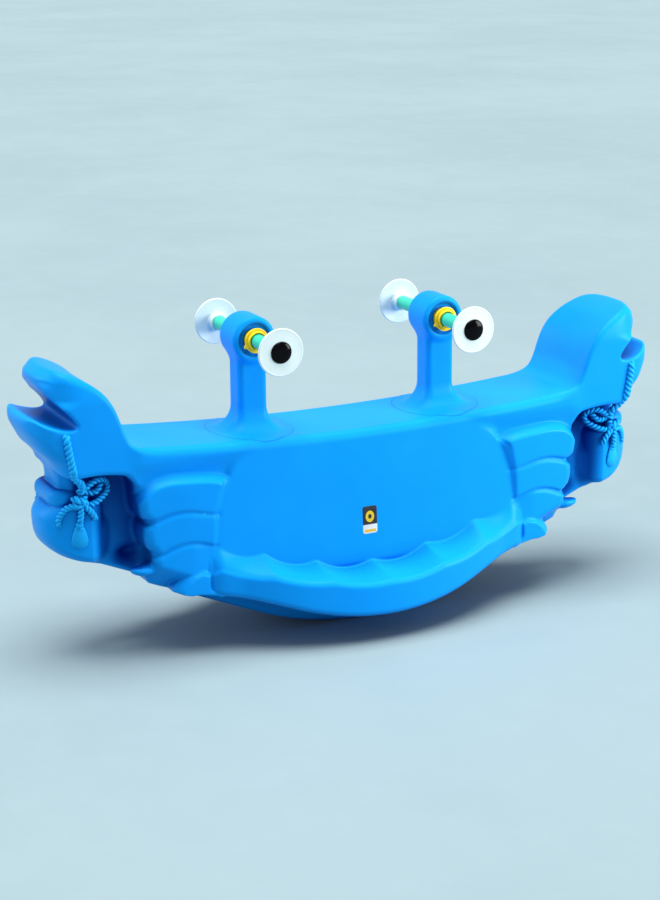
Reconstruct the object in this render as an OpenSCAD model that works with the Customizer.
// Two-seat rocking seesaw for small children, in the shape of a crab.
// One hollow moulded body rocks on its curved belly. Two handle bars, each
// carrying a pair of eye discs, turn in flanged bushes in the eye stalks.
// Origin: on the ground under the middle of the belly. +X along the length
// (right), -Y the front side, +Z up. Millimetres.

/* [Body] */
// Overall length over the claw tips
body_len = 1500; // [1460:4:1540]
// Height of the seat at its middle
seat_h = 436; // [426:1:446]
// Rise of the seat from its middle to the backrests
seat_rise = 23; // [15:1:30]
// Width of the seat beam and backrests
seat_w = 224; // [212:2:236]
// Width of the body between the wings
trunk_w = 206; // [196:2:208]
// Wall thickness of the hollow moulding
wall = 4; // [3.5:0.5:5]

/* [Rocker] */
// Radius of the rolling part of the belly
belly_r = 600; // [580:5:640]
// Width of the belly where it meets the ground
belly_w = 176; // [160:2:190]
// Angle the body rolls through before it lies on a straight flank
rock_angle = 23.2; // [22:0.1:24]

/* [Footrests] */
// Width across both footrests
foot_span = 476; // [464:2:490]
// Fall of the footrest shelf towards its outer edge, in degrees
foot_tilt = 9.3; // [6:0.1:11]
// Depth of each scallop in the footrest's top
scallop = 17; // [8:1:20]

/* [Eye stalks] */
// Distance of each stalk from the middle of the body
stalk_x = 224; // [215:1:235]
// Stalk size along the body
stalk_l = 66; // [60:1:72]
// Stalk size across the body
stalk_d = 58; // [52:1:62]
// Height of the handle bars above the ground
bar_z = 639; // [625:1:650]
// Radius of the round stalk head
head_r = 48.5; // [46:0.5:52]
// Half of the head's width across the body
head_w2 = 40; // [39:0.5:44]

/* [Handle bars] */
// Diameter of the green grip tube
grip_d = 30; // [26:1:32]
// Distance from the body's centre plane to each disc's back face
disc_y = 165; // [155:1:175]
// Diameter of the eye discs
disc_d = 100; // [90:1:110]
// Diameter of the black pupil caps
pupil_d = 45; // [42:1:50]
// Height of the pupil dome
pupil_h = 7; // [7:0.5:9]
// Radial running clearance between grip tube and bush
run_c = 0.08; // [0.05:0.01:0.1]

/* [Hidden] */
$fn = 96;

sky = [0.05, 0.52, 0.93];
green = [0.10, 0.72, 0.56];
yellow = [0.96, 0.80, 0.05];
white = [0.94, 0.95, 0.96];
black = [0.04, 0.04, 0.05];
steel = [0.72, 0.73, 0.75];
sleeve_grey = [0.25, 0.26, 0.28];
plug_grey = [0.2, 0.21, 0.23];

// signs of X and Y that pick a stalk and an end of its bar
left = -1;
right = 1;
front = -1;
rear = 1;

claw_dx = body_len/2 - 750; // moves the claws outwards with the length
claw_dz = seat_h - 436;     // lifts the claws with the seat

// ---- curves ---------------------------------------------------------------

// Catmull-Rom point between p1 and p2
function blend(p0, p1, p2, p3, t) = 0.5*(2*p1 + (p2 - p0)*t
    + (2*p0 - 5*p1 + 4*p2 - p3)*t*t + (3*p1 - p0 - 3*p2 + p3)*t*t*t);
// smooth open curve through the points, with steps to a span
function spline(points, steps) = let (last = len(points) - 1) [
    for (i = [0:last - 1], k = [0:steps - 1])
        blend(points[max(i - 1, 0)], points[i], points[i + 1],
            points[min(i + 2, last)], k/steps),
    points[last]];
// smooth closed curve through the points
function loop(points, steps) = let (n = len(points)) [
    for (i = [0:n - 1], k = [0:steps - 1])
        blend(points[(i + n - 1) % n], points[i], points[(i + 1) % n],
            points[(i + 2) % n], k/steps)];
function shift(points, by) = [for (p = points) p + by];
// closes a right-hand half outline with its mirror image
function both(points) = concat(points,
    [for (i = [len(points) - 1:-1:0]) [-points[i][0], points[i][1]]]);

// concave top of the seat
seat_half_l = 520;
function seat_z(x) = seat_h + seat_rise*pow(x/seat_half_l, 2);
// underside: rolling arc, then the straight flank it tips onto
flank_x = belly_r*sin(rock_angle);
function under_z(x) = x <= flank_x
    ? belly_r - sqrt(belly_r*belly_r - x*x)
    : belly_r*(1 - cos(rock_angle)) + (x - flank_x)*tan(rock_angle);

// ---- side outlines [x, z] -------------------------------------------------
// Half outlines are the right half.

// front of the backrest, up and over to the upper claw tip
back_points = [
    [500, 458], [519, 463], [532, 474], [543, 496], [552, 522], [561, 546],
    [572, 565], [587, 584], [608, 602], [634, 618], [660, 630], [686, 636],
    [706, 633], [719, 621]];
// open mouth of the claw
mouth_points = [
    [717, 609], [703, 596], [688, 580], [672, 561], [657, 546], [645, 531],
    [641, 520], [648, 514], [665, 514], [686, 520], [708, 529], [729, 539],
    [743, 541]];
// lower claw tip and the underside of the claw
jaw_points = [
    [750, 524], [747, 510], [738, 495], [724, 480], [708, 463], [692, 447],
    [679, 431], [673, 417], [650, 412], [600, 413], [548, 410], [526, 390]];

module beam_2d() {
    by = [claw_dx, claw_dz];
    polygon(both(concat(
        [for (x = [20:45:470]) [x, seat_z(x)]],
        spline(shift(back_points, by), 3),
        spline(shift(mouth_points, by), 2),
        spline(shift(jaw_points, by), 3),
        [[500, 360], [20, 360]])));
}

// body between the seat and the belly, inside the wings
module trunk_2d(lift) {
    top_z = seat_h - 12;
    polygon(both(concat(
        [[20, top_z], [500, top_z], [522, 400], [524, 330], [518, 250],
            [515, under_z(515) + lift]],
        [for (x = [flank_x:-flank_x/9:10]) [x, under_z(x) + lift]])));
}

// narrow web between the wings and the sacks under the claws
module web_2d() {
    polygon(concat(
        [[470, 425], [676 + claw_dx, 425], [672 + claw_dx, 380],
            [676 + claw_dx, 300], [660 + claw_dx, 250]],
        [for (x = [640, 420]) [x, under_z(x) + 0.6]]));
}

// sack that hangs under the claw, with the collar where it is tied
sack_points = [
    [602, 404], [640, 409], [672, 396], [686, 378], [690, 361], [685, 347],
    [698, 340], [710, 326], [714, 308], [711, 288], [703, 270], [690, 253],
    [670, 239], [646, 227], [620, 217], [603, 215], [598, 240], [597, 300],
    [604, 335], [606, 352], [599, 372]];

// end of the raised shell panel, from its top down
panel_end_points = [
    [282, 412], [304, 402], [317, 382], [333, 340], [349, 293], [358, 240],
    [360, 200], [345, 160], [300, 118]];
module panel_2d() {
    top_z = seat_h - 13;
    polygon(both(concat(
        [[20, top_z], [262, top_z]],
        spline(panel_end_points, 2),
        [for (x = [flank_x:-flank_x/8:10]) [x, under_z(x) + 18]])));
}

// the three feather bands of a wing, from the top down
wing_half_w = [120, 123, 125];
wing_bands = [
    [[322, 372], [360, 384], [404, 389], [458, 387], [504, 375], [526, 354],
        [529, 330], [520, 309], [504, 301], [470, 307], [430, 309],
        [390, 304], [350, 294]],
    [[351, 288], [392, 299], [432, 304], [470, 302], [503, 296], [524, 282],
        [529, 262], [519, 244], [500, 237], [468, 240], [430, 241],
        [395, 237], [360, 229]],
    [[361, 223], [396, 232], [430, 236], [468, 235], [498, 231], [513, 219],
        [516, 200], [500, 180], [455, 160], [410, 142], [376, 140],
        [362, 160]]];

// scalloped crescent of the footrest, before it is tilted
foot_peaks = [[0, 151], [132, 167], [252, 198], [352, 220]];
foot_end_points = [[352, 220], [367, 214], [375, 200], [373, 184]];
foot_under_z = 71; // lowest point of the crescent
foot_under_r = 690;
function foot_low(x) = foot_under_z + foot_under_r
    - sqrt(foot_under_r*foot_under_r - x*x);
module foot_2d() {
    steps = 8;
    // a parabola sags between each two peaks; the middle peak is left out
    top = [for (i = [0:2], k = [0:steps - 1])
        let (t = k/steps, a = foot_peaks[i], b = foot_peaks[i + 1])
        if (i + k > 0)
            [a[0] + (b[0] - a[0])*t,
                a[1] + (b[1] - a[1])*t - scallop*4*t*(1 - t)]];
    low = [for (x = [360:-32:16]) [x, foot_low(x)]];
    polygon(both(concat(top, spline(foot_end_points, 2), low)));
}

// ---- outlines from above [x, y] -------------------------------------------

// beam outline: the claws narrow to their tips
module claw_plan_2d() {
    half_w = seat_w/2;
    nose_x = 665 + claw_dx;
    nose_l = 85.5;
    rear_side = concat(
        [[10, half_w + 1]],
        [for (a = [0:9:81]) [nose_x + nose_l*sin(a), 1 + half_w*cos(a)]],
        [[nose_x + nose_l, 0]]);
    front_side = [for (i = [len(rear_side) - 2:-1:0])
        [rear_side[i][0], -rear_side[i][1]]];
    polygon(both(concat(rear_side, front_side)));
}

sack_plan = [
    [560, -94], [640, -91], [672, -80], [696, -62], [710, -34],
    [710, 34], [696, 62], [672, 80], [640, 91], [560, 94]];

// front footrest: the outer edge is an arc, so the shelf is deepest at the middle
foot_edge_r = 690;
function foot_y(x) = -foot_span/2 + foot_edge_r
    - sqrt(foot_edge_r*foot_edge_r - x*x);
module foot_plan_2d() {
    polygon(both(concat(
        [[20, 0], [374, 0], [379, -70], [378, foot_y(366) + 14],
            [368, foot_y(364) + 2]],
        [for (x = [354:-24:18]) [x, foot_y(x)]])));
}

module round_rect_2d(l, w, r) {
    square([l, w - 2*r], center = true);
    square([l - 2*r, w], center = true);
    for (sx = [-1, 1], sy = [-1, 1])
        translate([sx*(l/2 - r), sy*(w/2 - r)]) circle(r = r);
}

// ---- body blank: outer form at depth 0, inner form at depth = wall --------

module inset(depth) {
    if (depth == 0) children();
    else offset(delta = -depth) children();
}
// side outline extruded across the body to half_w each side
module slab(half_w, depth) {
    rotate([90, 0, 0])
        linear_extrude(height = 2*(half_w - depth), center = true)
            inset(depth) children();
}
// plan outline extruded upwards
module plan(z0, z1, depth) {
    translate([0, 0, z0]) linear_extrude(height = z1 - z0)
        inset(depth) children();
}
// right-hand part and its left-hand mirror image
module pair() {
    children();
    mirror([1, 0, 0]) children();
}

// seat beam with backrests and claws
module beam(depth) {
    intersection() {
        slab(seat_w/2, depth) beam_2d();
        plan(300, 700, depth) claw_plan_2d();
    }
}

// trunk with a stepped belly edge: the narrower slab reaches the ground
module trunk(depth) {
    slab(trunk_w/2, depth) trunk_2d(8);
    slab(belly_w/2, depth) trunk_2d(0);
}

module sack(depth) {
    intersection() {
        translate([claw_dx, 0, 0]) slab(95, depth) polygon(loop(sack_points, 3));
        translate([claw_dx, 0, 0]) plan(190, 420, depth) polygon(sack_plan);
    }
}

// shell panels, front and rear, on leaning faces; corners are [y, z]
panel_top = [112, 430];
panel_low = [131, 150];
panel_base = [118, 18];
panel_lean = atan((panel_low[0] - panel_top[0])/(panel_top[1] - panel_low[1]));
// half width of the body over the panels at height z
function panel_y(z) = panel_top[0] + (panel_top[1] - z)*tan(panel_lean);
module panels(depth) {
    intersection() {
        slab(140, depth) panel_2d();
        rotate([90, 0, 90]) linear_extrude(height = 740, center = true)
            inset(depth) polygon([
                [-panel_top[0], panel_top[1]], [-panel_low[0], panel_low[1]],
                [-panel_base[0], panel_base[1]], panel_base,
                panel_low, panel_top]);
    }
}

module wing(depth) {
    for (i = [0:2])
        slab(wing_half_w[i], depth) polygon(loop(wing_bands[i], 3));
}

// front footrest, tilted about a line along X
foot_pivot = [0, -125, 150];
foot_inner_y = -55;
foot_reach = 210;
module foot(depth) {
    intersection() {
        translate(foot_pivot) rotate([foot_tilt, 0, 0])
            translate([0, foot_inner_y - foot_pivot[1], -foot_pivot[2]])
                rotate([90, 0, 0]) linear_extrude(height = foot_reach - depth)
                    inset(depth) foot_2d();
        plan(20, 240, depth) foot_plan_2d();
    }
}

stalk_sink = 25; // depth of the stalk's lower end below the seat
// steps of the stalk's flared foot:
// [bottom above seat_h, height, added length, added width, corner radius]
stalk_flares = [
    [-20, 26, 44, 40, 30],
    [0, 16, 20, 20, 22]];
module stalk(depth) {
    head_inset = depth > 0 ? 10.5 : 0; // thicker end walls on the head
    translate([stalk_x, 0, 0]) {
        translate([0, 0, seat_h - stalk_sink])
            linear_extrude(height = bar_z - seat_h + stalk_sink)
                round_rect_2d(stalk_l - 2*depth, stalk_d - 2*depth, 14 - depth);
        for (flare = stalk_flares)
            translate([0, 0, seat_h + flare[0]])
                linear_extrude(height = flare[1] - depth)
                    round_rect_2d(stalk_l + flare[2] - 2*depth,
                        stalk_d + flare[3] - 2*depth, flare[4] - depth);
        translate([0, 0, bar_z]) rotate([90, 0, 0])
            cylinder(r = head_r - depth, h = 2*(head_w2 - head_inset), center = true);
    }
}

module blank(depth) {
    beam(depth);
    trunk(depth);
    pair() slab(50, depth) web_2d();
    pair() sack(depth);
    panels(depth);
    pair() wing(depth);
    foot(depth);
    mirror([0, 1, 0]) foot(depth);
    pair() stalk(depth);
}

// ---- body pieces ----------------------------------------------------------

head_bore_r = 22;
recess_y = head_w2 - 6;        // floor of the bush recess
// frame of a bar end: local +Z runs outwards along the bar
module bar_end(side, end) {
    translate([side*stalk_x, 0, bar_z]) rotate([0, 0, end > 0 ? 180 : 0])
        rotate([90, 0, 0]) children();
}
// solid core of a stalk head, bored by head_cuts
module head_tube() {
    translate([stalk_x, 0, bar_z]) rotate([90, 0, 0])
        cylinder(r = head_bore_r + wall, h = 2*recess_y, center = true);
}
module head_cuts(side) {
    for (end = [front, rear]) bar_end(side, end) {
        cylinder(r = head_bore_r, h = head_w2 + 1);
        translate([0, 0, recess_y]) cylinder(r = 33, h = 8);
    }
}

// vent under the rear footrest; vent_at is where the plug's flange seats
vent_at = [0, 178, 56];
vent_r = 8;
vent_boss_h = 14;

module body_shell() {
    color(sky) difference() {
        union() {
            difference() {
                blank(0);
                blank(wall);
            }
            pair() head_tube();
            translate(vent_at) cylinder(r = 17, h = vent_boss_h);
        }
        head_cuts(left);
        head_cuts(right);
        translate(vent_at - [0, 0, 16]) cylinder(r = vent_r, h = 36);
    }
}

// hollow plug with a flange below and a snap rim above the boss
module vent_plug() {
    flange_t = 3;
    color(sky) translate(vent_at) difference() {
        union() {
            translate([0, 0, -flange_t]) cylinder(r = 12, h = flange_t);
            cylinder(r = vent_r - 0.05, h = 17);
            translate([0, 0, vent_boss_h + 0.5]) cylinder(r1 = 8.6, r2 = 7.4, h = 3.5);
        }
        cylinder(r = 5.6, h = 19);
    }
}

// thin plain label with rounded corners on the front panel
label_z = 238;
module side_label() {
    color(white) translate([0, -panel_y(label_z), label_z])
        rotate([90 - panel_lean, 0, 0]) linear_extrude(height = 0.4)
            round_rect_2d(34, 60, 6);
}

// ---- bushes ---------------------------------------------------------------

bush_inner_y = 16;             // inner end of the bush barrel
flange_y = head_w2 + 6;        // inner face of the bush flange
key_angle = 205;               // direction of the bush's key
grip_r = grip_d/2;

module key_2d() {
    rotate(key_angle)
        polygon([[24.8, -4.2], [24.8, 4.2], [27, 3.4], [31.6, 0], [27, -3.4]]);
}
// flanged bush pressed into the stalk head, with a pointed key
module bush(side, end) {
    bore_r = grip_r + run_c;
    press_r = head_bore_r - 0.03;
    barrel = [
        [bore_r, bush_inner_y + 1], [bore_r + 1, bush_inner_y],
        [20.9, bush_inner_y], [press_r, bush_inner_y + 1.4],
        [press_r, recess_y], [23, recess_y], [23, recess_y + 1.5],
        [press_r, recess_y + 2.5]];
    // flange and the collar outside it, measured from the flange's inner face
    flange = [
        [press_r, 0], [26.5, 0], [26.5, 3.4], [25.7, 4.2], [23.6, 4.2],
        [23.0, 3.2], [21.2, 3.2], [20.4, 10.4], [19.8, 11],
        [grip_r + 2.8, 11], [grip_r + 2.4, 4.2], [bore_r, 3.2]];
    color(yellow) bar_end(side, end) {
        rotate_extrude() polygon(concat(barrel, shift(flange, [0, flange_y])));
        translate([0, 0, flange_y + 0.3]) linear_extrude(height = 3.2)
            difference() {
                key_2d();
                circle(r = 22.2);
            }
    }
}

// ---- bar tubes, sleeve and pin --------------------------------------------

fit = 0.05;                    // radial gap between fitted parts
grip_bore_r = grip_r - 3;
core_bore_r = grip_r - 5;
plug_head_t = 2;               // end plug head, between tube and disc
pin_r = 2.5;

// tube centred on the body, cross-drilled for the roll pin
module tube(outer_r, inner_r, length) {
    difference() {
        cylinder(r = outer_r, h = length, center = true);
        cylinder(r = inner_r, h = length + 2, center = true);
        rotate([0, 90, 0])
            cylinder(r = pin_r + fit, h = 2*outer_r + 4, center = true);
    }
}
module grip_tube(side) {
    color(green) bar_end(side, front)
        tube(grip_r, grip_bore_r, 2*(disc_y - plug_head_t));
}
module core_tube(side) {
    color(steel) bar_end(side, front)
        tube(grip_bore_r - fit, core_bore_r, 2*(disc_y - plug_head_t - 0.2));
}
// sleeve between the inner ends of the two bushes
module stop_sleeve(side) {
    color(sleeve_grey) bar_end(side, front)
        tube(20, grip_r + 0.02, 2*(bush_inner_y - 0.6));
}
// slit pin across the sleeve and both tubes
module roll_pin(side) {
    color(steel) bar_end(side, front) rotate([0, 90, 0]) difference() {
        cylinder(r = pin_r, h = 38.5, center = true);
        cylinder(r = 1.5, h = 40, center = true);
        translate([2, 0, 0]) cube([3, 0.8, 40], center = true);
    }
}

// ---- bar ends -------------------------------------------------------------
// Profiles are [radius, distance outwards from the disc's back face].

disc_t = 5;                    // disc thickness at the hub
washer_t = 1;
disc_face_y = disc_y + disc_t;
// groove in the disc for the pupil cap's rib
groove_in_r = 18.9;
groove_out_r = 20.6;
groove_floor = 3;

module end_plug(side, end) {
    color(plug_grey) bar_end(side, end) difference() {
        union() {
            translate([0, 0, disc_y - 24]) cylinder(r = core_bore_r - fit, h = 22.5);
            translate([0, 0, disc_y - plug_head_t])
                cylinder(r = grip_r - 0.1, h = plug_head_t);
        }
        translate([0, 0, disc_y - 20]) cylinder(r = 2.4, h = 21);
    }
}

// disc with a socket over the tube end, a rounded rim and the cap's groove
module eye_disc(side, end) {
    rim_r = disc_d/2;
    socket_r = grip_r + fit;
    bolt_r = 2.8;
    profile = [
        [bolt_r, 0], [socket_r, 0], [socket_r, -17], [18.6, -17],
        [19.4, -16], [20.6, -4], [22.5, -1], [25, 0],
        [rim_r - 4.4, 0], [rim_r - 3.6, -1], [rim_r - 1.4, -1],
        [rim_r - 0.4, -0.3], [rim_r, 1.2], [rim_r, 3.4],
        [rim_r - 0.5, 4.9], [rim_r - 1.8, 5.6], [rim_r - 4, 5.6],
        [rim_r - 5.4, disc_t],
        [groove_out_r, disc_t], [groove_out_r, groove_floor],
        [groove_in_r, groove_floor], [groove_in_r, disc_t], [bolt_r, disc_t]];
    color(white) bar_end(side, end) rotate_extrude()
        polygon(shift(profile, [0, disc_y]));
}

module washer(side, end) {
    color(steel) bar_end(side, end) translate([0, 0, disc_face_y]) difference() {
        cylinder(r = 7, h = washer_t);
        translate([0, 0, -1]) cylinder(r = 2.75, h = 3);
    }
}

// pointed screw with a cross slot in its head
module screw(side, end) {
    shank_r = 2.35;
    head_r = 4.75;
    under_head = disc_t + washer_t;
    profile = [
        [0, -18.5], [shank_r, -14.5], [shank_r, under_head],
        [head_r, under_head], [head_r, 7.6], [3.9, 8.7], [2.2, 9.1], [0, 9.1]];
    color(steel) bar_end(side, end) difference() {
        rotate_extrude() polygon(shift(profile, [0, disc_y]));
        for (a = [0, 90]) rotate(a) translate([0, 0, disc_y + 8.6])
            cube([5, 0.9, 2.4], center = true);
    }
}

// domed pupil cap, hollow over the screw, with a rib in the disc's groove
module pupil_cap(side, end) {
    cap_r = pupil_d/2;
    dome_r = (cap_r*cap_r + pupil_h*pupil_h)/(2*pupil_h);
    centre_z = disc_face_y + pupil_h - dome_r;
    hollow_dome_r = dome_r - 2.1;
    hollow_r = 16.5;
    rib_in_r = groove_in_r + fit;
    rib_out_r = groove_out_r - fit;
    rib_z = disc_y + groove_floor + 0.1;
    dome = [for (k = [1:15]) let (q = cap_r*k/15)
        [q, centre_z + sqrt(dome_r*dome_r - q*q)]];
    rib = [[rib_out_r, disc_face_y], [rib_out_r, rib_z], [rib_in_r, rib_z],
        [rib_in_r, disc_face_y], [17.6, disc_face_y + 0.02]];
    hollow = [for (k = [12:-1:1]) let (q = hollow_r*k/12)
        [q, max(disc_face_y + 0.1,
            centre_z + sqrt(hollow_dome_r*hollow_dome_r - q*q))]];
    color(black) bar_end(side, end) rotate_extrude() polygon(concat(
        [[0, centre_z + dome_r]], dome, rib, hollow,
        [[0, centre_z + hollow_dome_r]]));
}

body_shell();
vent_plug();
side_label();
bush(left, front);  // left_front_bush
bush(left, rear);  // left_rear_bush
bush(right, front);  // right_front_bush
bush(right, rear);  // right_rear_bush
grip_tube(left);  // left_grip_tube
core_tube(left);  // left_core_tube
stop_sleeve(left);  // left_stop_sleeve
roll_pin(left);  // left_roll_pin
end_plug(left, front);  // left_front_end_plug
end_plug(left, rear);  // left_rear_end_plug
eye_disc(left, front);  // left_front_eye_disc
eye_disc(left, rear);  // left_rear_eye_disc
washer(left, front);  // left_front_washer
washer(left, rear);  // left_rear_washer
screw(left, front);  // left_front_screw
screw(left, rear);  // left_rear_screw
pupil_cap(left, front);  // left_front_pupil_cap
pupil_cap(left, rear);  // left_rear_pupil_cap
grip_tube(right);  // right_grip_tube
core_tube(right);  // right_core_tube
stop_sleeve(right);  // right_stop_sleeve
roll_pin(right);  // right_roll_pin
end_plug(right, front);  // right_front_end_plug
end_plug(right, rear);  // right_rear_end_plug
eye_disc(right, front);  // right_front_eye_disc
eye_disc(right, rear);  // right_rear_eye_disc
washer(right, front);  // right_front_washer
washer(right, rear);  // right_rear_washer
screw(right, front);  // right_front_screw
screw(right, rear);  // right_rear_screw
pupil_cap(right, front);  // right_front_pupil_cap
pupil_cap(right, rear);  // right_rear_pupil_cap
